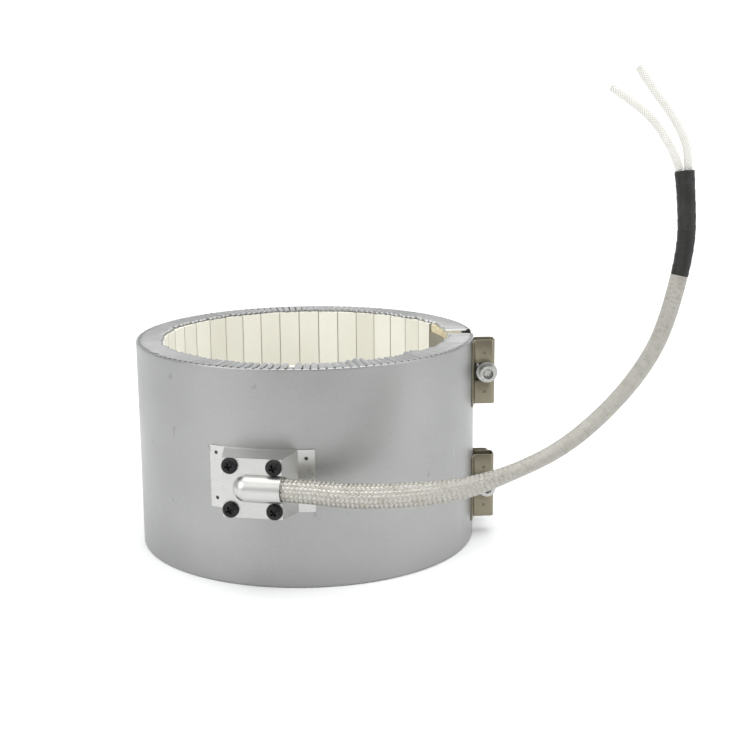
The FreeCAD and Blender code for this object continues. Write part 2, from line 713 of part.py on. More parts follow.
def make_cord(name, route, radius):
    path, radii = rounded_path(route)
    along = Vector(*route[1]) - Vector(*route[0])
    ring = Part.Wire(Part.makeCircle(radius, Vector(*route[0]), along))
    cord = doc.addObject("Part::Feature", name)
    cord.Label = name
    cord.Shape = path.makePipeShell([ring], True, False)
    share = cord.Shape.Volume / (math.pi * radius * radius * path.Length)
    print(f"{name}: length {path.Length:.1f}, radii {[round(value) for value in radii]}, fill {share:.4f}")
    return cord


def make_leads():
    cords = [make_cord("braided_lead", BRAID_ROUTE, size("braid_radius")),
             make_cord("black_sleeve", SLEEVE_ROUTE, size("sleeve_radius"))]
    for name, route in LEAD_ROUTES.items():
        cords.append(make_cord(name, route, size("lead_radius")))
    return cords


# ---- the whole heater -----------------------------------------------------------------------

pieces = [make_outer_shell(), make_blanket()]
pieces += [make_tile(number) for number in range(1, round(size("tile_count")) + 1)]
pieces.append(make_heating_element())
pieces += [make_end_cover("near_end_cover", True), make_end_cover("far_end_cover", False)]
pieces += make_clamp("upper") + make_clamp("lower")
pieces += [make_bracket(), make_cover(), make_cover_screws(), make_terminal_block(), make_terminal_studs()]
pieces += make_leads()
doc.recompute()

for item in doc.Objects:
    if "Invalid" in item.State or "Error" in item.State:
        raise RuntimeError(f"{item.Name} failed: {item.State}")
for piece in pieces:
    if piece.Shape.isNull() or not piece.Shape.isValid():
        raise RuntimeError(f"{piece.Label} has no valid shape")
for piece in pieces:
    piece.Shape.exportStep(f"parts/{piece.Label}.step")
print(len(pieces), "pieces")
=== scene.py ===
import math
import random

import bmesh
import bpy
import numpy as np
from mathutils import Matrix, Vector


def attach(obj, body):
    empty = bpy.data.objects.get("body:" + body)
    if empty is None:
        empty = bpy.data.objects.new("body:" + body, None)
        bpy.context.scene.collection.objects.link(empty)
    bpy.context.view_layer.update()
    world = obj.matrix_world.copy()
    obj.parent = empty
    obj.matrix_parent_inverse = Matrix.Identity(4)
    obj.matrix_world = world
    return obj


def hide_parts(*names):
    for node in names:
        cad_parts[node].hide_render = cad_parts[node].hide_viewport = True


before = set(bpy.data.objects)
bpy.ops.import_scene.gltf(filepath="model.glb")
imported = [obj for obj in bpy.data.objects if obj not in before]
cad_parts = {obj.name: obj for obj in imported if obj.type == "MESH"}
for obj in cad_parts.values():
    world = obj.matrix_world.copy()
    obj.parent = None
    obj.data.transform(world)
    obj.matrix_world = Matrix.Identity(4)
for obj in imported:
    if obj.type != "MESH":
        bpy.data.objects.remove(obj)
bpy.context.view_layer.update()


# ---- the studio -----------------------------------------------------------------------------
# A pale table that runs up into a pale backdrop, a broad soft lamp overhead and two side panels.
# The camera stands a little above the heater's rim and looks slightly down on it.

CAMERA_PLACE = Vector((0, -0.8386, 0.2857))
CAMERA_YAW, CAMERA_PITCH, CAMERA_ROLL = 0.0438, 0.2105, -0.0097
CAMERA_LENS = 67.72
FLOOR_COLOUR = (0.93, 0.935, 0.94)
SKY_RANGE = (0.36, 0.95)


class Socket:
    """One value in a material's node tree. Arithmetic on it adds Math nodes."""

    def __init__(self, finish, socket):
        self.finish, self.socket = finish, socket

    def __add__(self, other):
        return self.finish.maths("ADD", self, other)

    def __radd__(self, other):
        return self.finish.maths("ADD", other, self)

    def __sub__(self, other):
        return self.finish.maths("SUBTRACT", self, other)

    def __rsub__(self, other):
        return self.finish.maths("SUBTRACT", other, self)

    def __mul__(self, other):
        return self.finish.maths("MULTIPLY", self, other)

    def __rmul__(self, other):
        return self.finish.maths("MULTIPLY", other, self)

    def __truediv__(self, other):
        return self.finish.maths("DIVIDE", self, other)

    def __rtruediv__(self, other):
        return self.finish.maths("DIVIDE", other, self)

    def __pow__(self, other):
        return self.finish.maths("POWER", self, other)


class Finish:
    """A material: its node tree and the nodes that are asked of it."""

    def __init__(self, name, **constants):
        self.material = bpy.data.materials.new(name)
        self.material.use_nodes = True
        self.tree = self.material.node_tree
        self.shader = self.tree.nodes["Principled BSDF"]
        for words, value in constants.items():
            label = words.replace("_", " ").title().replace("Ior", "IOR")
            self.shader.inputs[label].default_value = value

    def node(self, kind, settings=None, inputs=None, output=0):
        """Any node: its settings first, then the values or links of its sockets."""
        made = self.tree.nodes.new(kind)
        for name, value in (settings or {}).items():
            setattr(made, name, value)
        for name, value in (inputs or {}).items():
            self.give(made.inputs[name], value)
        return Socket(self, made.outputs[output])

    def give(self, target, value):
        if isinstance(value, Socket):
            self.tree.links.new(value.socket, target)
        elif isinstance(value, tuple) and len(value) == 3 and len(target.default_value) == 4:
            target.default_value = (*value, 1)
        else:
            target.default_value = value

    def feed(self, **values):
        """Links or sets sockets of the shader itself."""
        for words, value in values.items():
            self.give(self.shader.inputs[words.replace("_", " ").title()], value)

    def maths(self, operation, first, second=0.0):
        return self.node("ShaderNodeMath", {"operation": operation}, {0: first, 1: second})

    def split(self, vector):
        """The three parts of a vector."""
        parts = self.node("ShaderNodeSeparateXYZ", None, {0: vector}).socket.node
        return [Socket(self, output) for output in parts.outputs]

    def place(self, stretch=(1, 1, 1)):
        """Point on the object in metres, each axis multiplied by a stretch."""
        spot = self.node("ShaderNodeTexCoord", output="Object")
        return self.node("ShaderNodeMapping", None, {"Vector": spot, "Scale": stretch})

    def noise(self, where, scale, detail=2.0, roughness=0.5):
        return self.node("ShaderNodeTexNoise", None,
                         {"Vector": where, "Scale": scale, "Detail": detail, "Roughness": roughness})

    def band(self, value, low, high, to_low=0.0, to_high=1.0):
        """The value's range from low to high, smoothly mapped to another and clamped."""
        names = ("Value", "From Min", "From Max", "To Min", "To Max")
        inputs = dict(zip(names, (value, low, high, to_low, to_high)))
        return self.node("ShaderNodeMapRange", {"interpolation_type": "SMOOTHSTEP"}, inputs)

    def mix(self, factor, first, second):
        """Colour between two colours."""
        settings = {"data_type": "RGBA"}
        return self.node("ShaderNodeMix", settings, {0: factor, 6: first, 7: second}, 2)

    def bump(self, height, depth, strength=1.0):
        inputs = {"Height": height, "Distance": depth, "Strength": strength}
        self.feed(normal=self.node("ShaderNodeBump", None, inputs))


def camera_axes(yaw, pitch, roll):
    """The camera's right, up and backward directions."""
    level = math.cos(pitch)
    ahead = Vector((math.sin(yaw) * level, math.cos(yaw) * level, -math.sin(pitch)))
    right = Vector((math.cos(yaw), -math.sin(yaw), 0))
    up = right.cross(ahead)
    rolled_right = right * math.cos(roll) + up * math.sin(roll)
    rolled_up = up * math.cos(roll) - right * math.sin(roll)
    return rolled_right, rolled_up, -ahead


def add_camera():
    data = bpy.data.cameras.new("camera")
    data.lens = CAMERA_LENS
    data.sensor_width = 36
    data.clip_start, data.clip_end = 0.01, 20
    camera = bpy.data.objects.new("camera", data)
    bpy.context.collection.objects.link(camera)
    turn = Matrix(camera_axes(CAMERA_YAW, CAMERA_PITCH, CAMERA_ROLL)).transposed()
    camera.matrix_world = Matrix.Translation(CAMERA_PLACE) @ turn.to_4x4()
    bpy.context.scene.camera = camera


def add_lamp(name, place, target, width, height, power):
    data = bpy.data.lights.new(name, "AREA")
    data.shape = "RECTANGLE"
    data.size, data.size_y = width, height
    data.energy = power
    lamp = bpy.data.objects.new(name, data)
    bpy.context.collection.objects.link(lamp)
    lamp.location = place
    lamp.rotation_mode = "QUATERNION"
    lamp.rotation_quaternion = (Vector(target) - Vector(place)).to_track_quat("-Z", "Y")


def add_object(name, mesh, material, body="band"):
    """A finished mesh as a piece that rides on a body."""
    mesh.materials.append(material)
    for polygon in mesh.polygons:
        polygon.use_smooth = True
    piece = bpy.data.objects.new(name, mesh)
    bpy.context.collection.objects.link(piece)
    if body:
        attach(piece, body)
    return piece


def add_floor():
    """Near-white table and backdrop in one sweep."""
    reach, back, top, bend = 2.2, 1.1, 2.0, 0.5
    profile = [(-reach, 0.0)]
    profile += [(back - bend + bend * math.sin(a), bend - bend * math.cos(a))
                for a in np.linspace(0, math.pi / 2, 24)]
    profile.append((back, top))
    mesh = bpy.data.meshes.new("floor")
    points = [(side * 3.0, y, z) for y, z in profile for side in (-1, 1)]
    faces = [(2 * i, 2 * i + 1, 2 * i + 3, 2 * i + 2) for i in range(len(profile) - 1)]
    mesh.from_pydata(points, [], faces)
    finish = Finish("floor_paper", base_color=(*FLOOR_COLOUR, 1), roughness=0.6,
                    specular_ior_level=0.25)
    add_object("floor", mesh, finish.material, body=None)


def set_world():
    """Bright above and dimmer towards the horizon, so that bare metal has something to reflect."""
    world = bpy.data.worlds.new("studio")
    world.use_nodes = True
    tree = world.node_tree
    background = tree.nodes["Background"]
    spot = tree.nodes.new("ShaderNodeTexCoord")
    parts = tree.nodes.new("ShaderNodeSeparateXYZ")
    rise = tree.nodes.new("ShaderNodeMapRange")
    light = tree.nodes.new("ShaderNodeLightPath")
    seen = tree.nodes.new("ShaderNodeMix")
    for name, value in zip(("From Min", "From Max", "To Min", "To Max"), (-0.05, 0.7, *SKY_RANGE)):
        rise.inputs[name].default_value = value
    seen.inputs["B"].default_value = 1.0
    tree.links.new(spot.outputs["Generated"], parts.inputs[0])
    tree.links.new(parts.outputs["Z"], rise.inputs["Value"])
    tree.links.new(rise.outputs[0], seen.inputs["A"])
    tree.links.new(light.outputs["Is Camera Ray"], seen.inputs["Factor"])
    tree.links.new(seen.outputs[0], background.inputs["Strength"])
    background.inputs["Color"].default_value = (1, 1, 1, 1)
    bpy.context.scene.world = world


add_camera()
add_floor()
set_world()
add_lamp("overhead", (0.1, -0.1, 1.3), (0, 0, 0), 1.3, 1.3, 11)
add_lamp("left_panel", (-1.1, -0.7, 0.7), (0, 0, 0.08), 0.9, 0.9, 7)
add_lamp("right_panel", (1.2, -0.5, 0.6), (0, 0, 0.08), 0.8, 1.0, 5)
bpy.context.scene.view_settings.view_transform = "Standard"


# ---- outer shell ----------------------------------------------------------------------------
# Stainless sheet rolled round the lining. Both edges are cut into fingers and folded inward, each
# finger lapping the next like a slate, with a small dark opening at every root.

BAND_RADIUS, BAND_HEIGHT, SHEET = 0.104, 0.127, 0.0006
BEND_RADIUS, ROOT_DEPTH = 0.0012, 0.0017
SPLIT_HALF = math.asin(0.005 / BAND_RADIUS)
TOOTH_COUNT, TOOTH_PITCH = 141, math.radians(2.5)
FIRST_TOOTH = math.radians(5.0)
NECK_HALF, FINGER_HALF, FINGER_LENGTH, CROWN = 0.00140, 0.00206, 0.0168, 0.0011
FINGER_ROWS = (0, 0.0005, 0.0009, 0.0012, 0.0015, 0.0019, 0.0024, 0.0029, 0.0034, 0.0041, 0.0048,
               0.0065, 0.009, 0.012, 0.0145, 0.0155, 0.0162, 0.0166, 0.0168)
FIXED_REACH, FINGER_COLUMNS = 0.006, 7
BROKEN_FINGER, BROKEN_LENGTH = 104, 0.0066
LIFT = 0.0016
LIFTED_FINGERS = {112: 0.9, 113: 1.3, 114: 0.7, 122: 1.0, 123: 1.4, 124: 0.8}


def mesh_from(name, points, faces):
    mesh = bpy.data.meshes.new(name)
    corners = [tuple(int(index) for index in face) for face in faces]
    mesh.from_pydata([tuple(point) for point in points], [], corners)
    return mesh


def grid_faces(rows, columns, first=0, closed=False, flip=False):
    """Quads of a grid of points stored row by row; closed joins the last column to the first."""
    faces = []
    for row in range(rows - 1):
        for column in range(columns if closed else columns - 1):
            after = (column + 1) % columns
            a, b = first + row * columns + column, first + row * columns + after
            face = (a, b, b + columns, a + columns)
            faces.append(face[::-1] if flip else face)
    return faces


def slab(upper, under, first):
    """Points and faces of a thin sheet between two grids of points, with its rim."""
    rows, columns = upper.shape[:2]
    count = rows * columns
    faces = grid_faces(rows, columns, first) + grid_faces(rows, columns, first + count, flip=True)
    rim = [r * columns for r in range(rows)]
    rim += [(rows - 1) * columns + c for c in range(1, columns)]
    rim += [r * columns + columns - 1 for r in range(rows - 2, -1, -1)]
    rim += list(range(columns - 2, 0, -1))
    for here, after in zip(rim, rim[1:] + rim[:1]):
        faces.append((first + here, first + after, first + after + count, first + here + count))
    return np.vstack([upper.reshape(-1, 3), under.reshape(-1, 3)]), faces


def shell_wall():
    """The rolled wall between the roots of the two rows of fingers, outside and inside."""
    low, high = ROOT_DEPTH, BAND_HEIGHT - ROOT_DEPTH
    profile = [(BAND_RADIUS, level) for level in np.linspace(low, high, 9)]
    profile += [(BAND_RADIUS - SHEET, level) for level in np.linspace(high, low, 9)]
    angles = np.linspace(SPLIT_HALF, 2 * math.pi - SPLIT_HALF, 361)
    points = np.array([(radius * math.cos(a), radius * math.sin(a), level)
                       for radius, level in profile for a in angles])
    rows, columns = len(profile), len(angles)
    faces = grid_faces(rows, columns, flip=True)
    last = (rows - 1) * columns
    faces += [(last + c, c, c + 1, last + c + 1) for c in range(columns - 1)]
    return points, faces


def finger_profile(reach):
    """Radius and level over the fold, for a distance measured up the wall and in over the lining."""
    upright, arc = ROOT_DEPTH - BEND_RADIUS, BEND_RADIUS * math.pi / 2
    if reach < upright:
        return BAND_RADIUS, reach - ROOT_DEPTH
    if reach < upright + arc:
        turn = (reach - upright) / BEND_RADIUS
        return BAND_RADIUS - BEND_RADIUS * (1 - math.cos(turn)), BEND_RADIUS * (math.sin(turn) - 1)
    return BAND_RADIUS - BEND_RADIUS - (reach - upright - arc), 0.0


def ease(value, low, high):
    share = min(1.0, max(0.0, (value - low) / (high - low)))
    return share * share * (3 - 2 * share)


def finger(index, top, chance):
    """Outer and under surface of one finger, from the wall over the fold to its rounded tip."""
    wave = math.sin(index * 0.9) + math.sin(index * 0.37 + 1.3)
    lean = math.radians(8.5 + 1.5 * wave + chance.uniform(-2.5, 2.5))
    yaw = math.radians(1.5 * math.sin(index * 0.23) + chance.uniform(-1.8, 1.8))
    length = FINGER_LENGTH * (1 + 0.02 * wave + chance.uniform(-0.05, 0.05))
    if top and index == BROKEN_FINGER:
        length = BROKEN_LENGTH
    dip = 0.0003 + 0.0001 * wave + chance.uniform(-0.0002, 0.0002)
    lift = LIFTED_FINGERS.get(index, 0.0) * LIFT if top else 0.0
    upper, under = np.zeros((2, len(FINGER_ROWS), FINGER_COLUMNS, 3))
    pitch_half = BAND_RADIUS * math.tan(TOOTH_PITCH / 2)
    for row, reach in enumerate(FINGER_ROWS):
        if reach >= FIXED_REACH:
            beyond = (reach - FIXED_REACH) * (length - FIXED_REACH)
            reach = FIXED_REACH + beyond / (FINGER_LENGTH - FIXED_REACH)
        radius, level = finger_profile(reach)
        free = ease(reach, 0.0022, 0.0055)
        half = pitch_half + (NECK_HALF - pitch_half) * ease(reach, 0.0012, 0.0019)
        half += (FINGER_HALF - NECK_HALF) * ease(reach, 0.0034, 0.0048)
        tip = max(0.0, (reach - length + 0.0016) / 0.0017)
        half *= 0.42 + 0.58 * math.sqrt(max(0.0, 1 - tip * tip))
        inward = max(0.0, reach - 0.0035)
        for column, side in enumerate(np.linspace(-1, 1, FINGER_COLUMNS)):
            y = half * side
            dome = CROWN * (math.cos(side * math.pi / 2) - 0.35) * free
            rise = y * math.tan(lean) * free + dome - dip * free + lift * (inward / length) ** 1.4
            rise = min(rise, 0.00035 + lift) if top else min(rise, 0.0)
            rise -= 0.0006 * tip ** 2
            swing = y + inward * math.tan(yaw)
            upper[row, column] = (radius, swing, level + rise)
            shift = ease(reach, ROOT_DEPTH - BEND_RADIUS, 0.0024)
            under[row, column] = (radius - SHEET * (1 - shift), swing, level + rise - SHEET * shift)
    return stand(upper, index, top), stand(under, index, top)


def stand(grid, index, top):
    """Turns a finger to its place round the band, at the upper edge or mirrored to the lower one."""
    angle = FIRST_TOOTH + index * TOOTH_PITCH
    x = grid[:, :, 0] * math.cos(angle) - grid[:, :, 1] * math.sin(angle)
    y = grid[:, :, 0] * math.sin(angle) + grid[:, :, 1] * math.cos(angle)
    return np.dstack([x, y, BAND_HEIGHT + grid[:, :, 2] if top else -grid[:, :, 2]])


def steel_finish(name, tone, roughness, cloud=0.10):
    """Mill-finish stainless: cloudy grey with fine grain, drawn lines, rubbed spots and scratches."""
    finish = Finish(name, metallic=0.92, specular_ior_level=0.5)
    wide = finish.noise(finish.place((1, 1, 1.6)), 14, 3)
    patch = finish.noise(finish.place((1.0, 1.0, 0.5)), 42, 4, 0.6)
    fine = finish.noise(finish.place(), 950, 3, 0.7)
    lines = finish.noise(finish.place((1, 1, 70)), 55, 3, 0.6)
    scratch = finish.noise(finish.place((330, 330, 26)), 1, 1)
    spots = finish.noise(finish.place((1, 1, 0.8)), 95, 2, 0.4)
    light = 1 + (wide - 0.5) * (cloud * 2.4) + (patch - 0.5) * (cloud * 1.6) + (fine - 0.5) * 0.2
    light = light + (lines - 0.5) * 0.06 + finish.band(scratch, 0.76, 0.80, 0, 0.15)
    light = light - finish.band(spots, 0.72, 0.80, 0, 0.22)
    parts = {index: light * part for index, part in enumerate(tone)}
    finish.feed(base_color=finish.node("ShaderNodeCombineColor", None, parts),
                roughness=finish.band(patch, 0.2, 0.8, roughness - 0.06, roughness + 0.08))
    finish.bump((lines * 0.5 + patch * 0.6 + fine * 0.25) * 0.25, 0.0004)
    return finish.material


def add_outer_shell():
    points, faces = shell_wall()
    sheets, count = [points], len(points)
    chance = random.Random(11)
    for top in (True, False):
        for index in range(TOOTH_COUNT):
            more, quads = slab(*finger(index, top, chance), count)
            sheets.append(more)
            faces += quads
            count += len(more)
    mesh = mesh_from("toothed_shell", np.vstack(sheets), faces)
    shell = add_object("toothed_shell", mesh, steel_finish("shell_sheet", (0.335, 0.338, 0.333), 0.38))
    set_sharp_edges(mesh, 38)
    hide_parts("outer_shell")


def set_sharp_edges(mesh, degrees):
    """Recalculates outward faces and marks the edges that shade sharp."""
    work = bmesh.new()
    work.from_mesh(mesh)
    bmesh.ops.recalc_face_normals(work, faces=work.faces)
    for edge in work.edges:
        edge.smooth = len(edge.link_faces) == 2 and edge.calc_face_angle(0) < math.radians(degrees)
    work.to_mesh(mesh)
    work.free()


add_outer_shell()


# ---- lining ---------------------------------------------------------------------------------
# Pressed ceramic strips side by side round the bore, with the fibre blanket behind them and a
# plain steel cover folded over the lining on each side of the split. The wire is hidden inside.

TILE_COUNT, COVER_SPAN = 36, 23
TILE_PITCH = math.radians((360 - 2 * COVER_SPAN) / TILE_COUNT)
TILE_START = math.radians(COVER_SPAN)


def dress(node, material, bevel=None, segments=2):
    """Gives a CAD node its material and, if asked, a small rounded arris."""
    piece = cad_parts[node]
    piece.data.materials.clear()
    piece.data.materials.append(material)
    if bevel:
        rounding = piece.modifiers.new("arris", "BEVEL")
        rounding.width, rounding.segments = bevel, segments
        rounding.limit_method, rounding.angle_limit = "ANGLE", math.radians(35)
        rounding.harden_normals = True
    return piece


def ceramic_finish():
    """Cream steatite. Each strip has its own tone, with kiln marks and painted shade along its edges
    where the strips meet.
    """
    finish = Finish("ceramic_strip", specular_ior_level=0.35)
    spot = finish.node("ShaderNodeTexCoord", output="Object")
    x, y, _ = finish.split(spot)
    angle = finish.maths("ARCTAN2", y, x)
    turn = finish.maths("FLOOR", (angle - TILE_START) / TILE_PITCH)
    tone = finish.node("ShaderNodeTexWhiteNoise", {"noise_dimensions": "1D"}, {"W": turn})
    cloud = finish.noise(finish.place((1, 1, 0.5)), 38, 3)
    speck = finish.noise(finish.place(), 900, 2)
    body = finish.mix(tone, (0.76, 0.745, 0.655), (0.87, 0.86, 0.78))
    body = finish.mix(finish.band(cloud, 0.35, 0.75, 0, 0.3), body, (0.72, 0.70, 0.60))
    # Painted shade: a thin dark band at both edges of every strip, stronger on some strips, stands for
    # the shade in the joints.
    joint = finish.maths("ABSOLUTE", finish.maths("FRACT", (angle - TILE_START) / TILE_PITCH) - 0.5)
    body = finish.mix(finish.band(joint, 0.455, 0.5) * (0.35 + tone * 0.5), body, (0.20, 0.18, 0.14))
    body = finish.mix(finish.band(speck, 0.66, 0.74, 0, 0.25), body, (0.55, 0.50, 0.38))
    finish.feed(base_color=body, roughness=finish.band(cloud, 0.2, 0.8, 0.5, 0.66))
    finish.bump(speck * 0.4 + cloud, 0.0003, 0.4)
    return finish.material


def fibre_finish():
    """Yellowish ceramic wool, with near-black painted shade where it lies under the folded fingers."""
    finish = Finish("fibre_wool", roughness=0.95, specular_ior_level=0.1)
    fluff = finish.noise(finish.place((1, 1, 3)), 420, 4, 0.7)
    cloud = finish.noise(finish.place(), 60, 2)
    body = finish.mix(finish.band(fluff, 0.3, 0.75), (0.70, 0.60, 0.37), (0.93, 0.88, 0.66))
    body = finish.mix(finish.band(cloud, 0.4, 0.7, 0, 0.3), body, (0.42, 0.34, 0.2))
    # Painted shade: the wool near the outer radius at the top and bottom, under the folded fingers, is
    # coloured near black.
    x, y, z = finish.split(finish.place())
    edge = finish.band(x * x + y * y, 0.0975 ** 2, 0.0985 ** 2) * finish.band(
        finish.maths("ABSOLUTE", z - BAND_HEIGHT / 2), 0.057, 0.060)
    finish.feed(base_color=finish.mix(edge, body, (0.03, 0.026, 0.02)))
    finish.bump(fluff, 0.0012, 0.9)
    return finish.material


def wire_finish():
    finish = Finish("resistance_wire", metallic=0.9, roughness=0.5)
    bloom = finish.noise(finish.place(), 160, 3)
    finish.feed(base_color=finish.mix(bloom, (0.14, 0.11, 0.09), (0.30, 0.26, 0.22)))
    finish.bump(bloom, 0.0002)
    return finish.material


def add_lining():
    ceramic = ceramic_finish()
    for number in range(1, TILE_COUNT + 1):
        dress(f"ceramic_tile_{number:02d}", ceramic, 0.00035)
    dress("insulation_blanket", fibre_finish())
    dress("heating_element", wire_finish())
    cover = steel_finish("cover_sheet", (0.30, 0.285, 0.255), 0.40, cloud=0.16)
    for side in ("near", "far"):
        dress(side + "_end_cover", cover, 0.0003)


add_lining()


# ---- clamps ---------------------------------------------------------------------------------
# Folded straps spot-welded either side of the split, round barrels in their loops, and a socket
# head screw with its washer. The straps are a warm, heat-tinted grey; the screws are bright.

CLAMP_LEVELS = {"upper": 0.1045, "lower": 0.0318}
SCREW_AXIS, SLOT_HALF = 0.1108, 0.0055
NEAR_HEIGHT, FAR_HEIGHT, STRAP_SHEET = 0.0400, 0.0290, 0.0008
FOOT_ANGLES = (15, 13.7, 12.4, 11.2, 10.4)
LOOP_RADII = (0.1036, 0.1062, 0.1090, 0.1114)
FAR_LOOP_START = 0.1042
SLOT_RANGE, SLOT_ACROSS = (0.103, 0.1137), 0.0177
FOOT_WELD_RADIUS, FOOT_WELD_ANGLE = 0.10535, math.radians(12.4)
LOOP_WELD_RADIUS, LOOP_WELD_ACROSS = 0.1095, 0.01798
DIMPLE_STEPS = 20


def spot_welds(name, places, radius, material):
    """Shallow dimples of resistance welds: a pressed ring with a slightly sunk middle."""
    profile = [(1.0, 0.0), (0.86, 0.13), (0.70, 0.15), (0.52, 0.06), (0.25, 0.02), (0.0, 0.01)]
    points, faces = [], []
    for place, outward in places:
        turn = Vector(outward).to_track_quat("Z", "Y").to_matrix()
        first = len(points)
        for share, rise in profile:
            for step in range(DIMPLE_STEPS):
                angle = 2 * math.pi * step / DIMPLE_STEPS
                across, up = share * radius * math.cos(angle), share * radius * math.sin(angle)
                points.append(Vector(place) + turn @ Vector((across, up, rise * radius)))
        faces += grid_faces(len(profile), DIMPLE_STEPS, first, closed=True)
    return add_object(name, mesh_from(name, points, faces), material)


def socket_screw_finish(word, level):
    """Bright zinc, with near-black painted shade on the head's face close round the socket."""
    finish = Finish(word + "_screw_steel", metallic=0.95)
    x, y, z = finish.split(finish.place())
    off_axis = (x - SCREW_AXIS) ** 2 + (z - level) ** 2
    # Painted shade: a near-black ring round the socket mouth on the head's face, so the hex socket reads
    # dark and deep.
    rim = finish.band(off_axis, 0.00305 ** 2, 0.0029 ** 2) * finish.band(y, -0.0252, -0.0254)
    grain = finish.noise(finish.place(), 420, 3)
    bright = finish.mix(grain, (0.36, 0.36, 0.35), (0.56, 0.56, 0.54))
    finish.feed(base_color=finish.mix(rim, bright, (0.012, 0.012, 0.012)),
                roughness=finish.band(grain, 0.2, 0.8, 0.22, 0.36))
    finish.bump(grain, 0.0001)
    return finish.material


def strap_path():
    """Line of a strap in plan: its foot on the shell, out round the loop and back to the shell."""
    on_shell = BAND_RADIUS + 0.0005
    line = [(on_shell * math.cos(a), -on_shell * math.sin(a)) for a in np.radians(FOOT_ANGLES)]
    out, near, far, bend = BAND_RADIUS + 0.0116, -0.0176, -0.0074, 0.0024
    line += [(radius, near) for radius in LOOP_RADII]
    turns = np.linspace(0, math.pi / 2, 7)
    line += [(out - bend * (1 - math.sin(a)), near + bend * (1 - math.cos(a))) for a in turns]
    line += [(out, -0.0125)]
    line += [(out - bend * (1 - math.cos(a)), far - bend * (1 - math.sin(a))) for a in turns]
    return line + [(radius, far) for radius in LOOP_RADII[:0:-1] + (FAR_LOOP_START,)]


def in_slot(point):
    """Whether a point of a strap's line lies in the loop, where the screw's slot is cut."""
    return SLOT_RANGE[0] < point[0] < SLOT_RANGE[1] and abs(point[1]) < SLOT_ACROSS


def add_strap(name, node, level, height, side, material):
    """Bent sheet along the strap's line, open where the slot lets the screw through."""
    line = strap_path()
    rows = [-height / 2, -SLOT_HALF, SLOT_HALF, height / 2]
    points = [(x, y * side, level + rise) for rise in rows for x, y in line]
    count = len(line)
    faces = []
    for row in range(len(rows) - 1):
        for column in range(count - 1):
            if row == 1 and in_slot(line[column]) and in_slot(line[column + 1]):
                continue
            first = row * count + column
            face = (first, first + 1, first + 1 + count, first + count)
            faces.append(face if side > 0 else face[::-1])
    strap = add_object(name, mesh_from(name, points, faces), material)
    sheet = strap.modifiers.new("sheet", "SOLIDIFY")
    sheet.thickness, sheet.offset = STRAP_SHEET, 0
    arris = strap.modifiers.new("arris", "BEVEL")
    arris.width, arris.segments = 0.00018, 2
    arris.limit_method, arris.angle_limit = "ANGLE", math.radians(50)
    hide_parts(node)


def add_clamps():
    strap = steel_finish("strap_sheet", (0.225, 0.205, 0.150), 0.32, cloud=0.30)
    weld = steel_finish("weld_oxide", (0.15, 0.135, 0.105), 0.45)
    barrel = steel_finish("barrel_steel", (0.36, 0.35, 0.33), 0.32)
    for word, level in CLAMP_LEVELS.items():
        for side, sign, height in (("near", 1, NEAR_HEIGHT), ("far", -1, FAR_HEIGHT)):
            add_strap(f"{word}_{side}_strap_sheet", f"{word}_{side}_strap", level, height, sign, strap)
            dress(f"{word}_{side}_barrel", barrel, 0.0003)
            angle = -sign * FOOT_WELD_ANGLE
            foot = FOOT_WELD_RADIUS * math.cos(angle), FOOT_WELD_RADIUS * math.sin(angle)
            places = [((*foot, level + rise), (math.cos(angle), math.sin(angle), 0))
                      for rise in (-0.0115, 0.0, 0.0115)]
            places += [((LOOP_WELD_RADIUS, -sign * LOOP_WELD_ACROSS, level + rise), (0, -sign, 0))
                       for rise in (-0.0125, 0.0118)]
            spot_welds(f"{word}_{side}_spot_welds", places, 0.0010, weld)
        dress(word + "_clamp_screw", socket_screw_finish(word, level), 0.00035, 3)


add_clamps()


# ---- terminal box ---------------------------------------------------------------------------
# A pressed box welded to the shell by its flanges. Four black pan head screws hold its cover,
# whose half-round channel leads the braid out at the side.

BOX_TURN = math.radians(255.3)
BOX_LEVEL, BOX_FRONT, COVER_SHEET, SCREW_HALF_PITCH = 0.0635, 0.120, 0.001, 0.0125
PAN_RADIUS, PAN_HEIGHT, PAN_STEPS = 0.0046, 0.0031, 40
PAN_PROFILE = ((0.0, 1.0), (0.35, 0.985), (0.62, 0.93), (0.82, 0.80), (0.94, 0.60), (1.0, 0.34),
               (1.0, 0.06), (0.97, 0))
RECESS_ENDS = ((0.0013, 0.0004, 0.42 * PAN_HEIGHT), (0.0027, 0.00068, 1.2 * PAN_HEIGHT))
FLANGE_OUTSIDE = BAND_RADIUS + 0.0011
FLANGE_WELDS = ((-14.6, 14.0), (-14.6, -12.5), (14.2, 13.0), (14.2, -12.0))
SCREW_TURNS = (0.42, 0.15, 0.75, 0.3)


def box_point(out, across, level):
    """Point given by its distance from the bore axis, its way round the band and its level."""
    return Vector((out * math.cos(BOX_TURN) - across * math.sin(BOX_TURN),
                   out * math.sin(BOX_TURN) + across * math.cos(BOX_TURN), level))


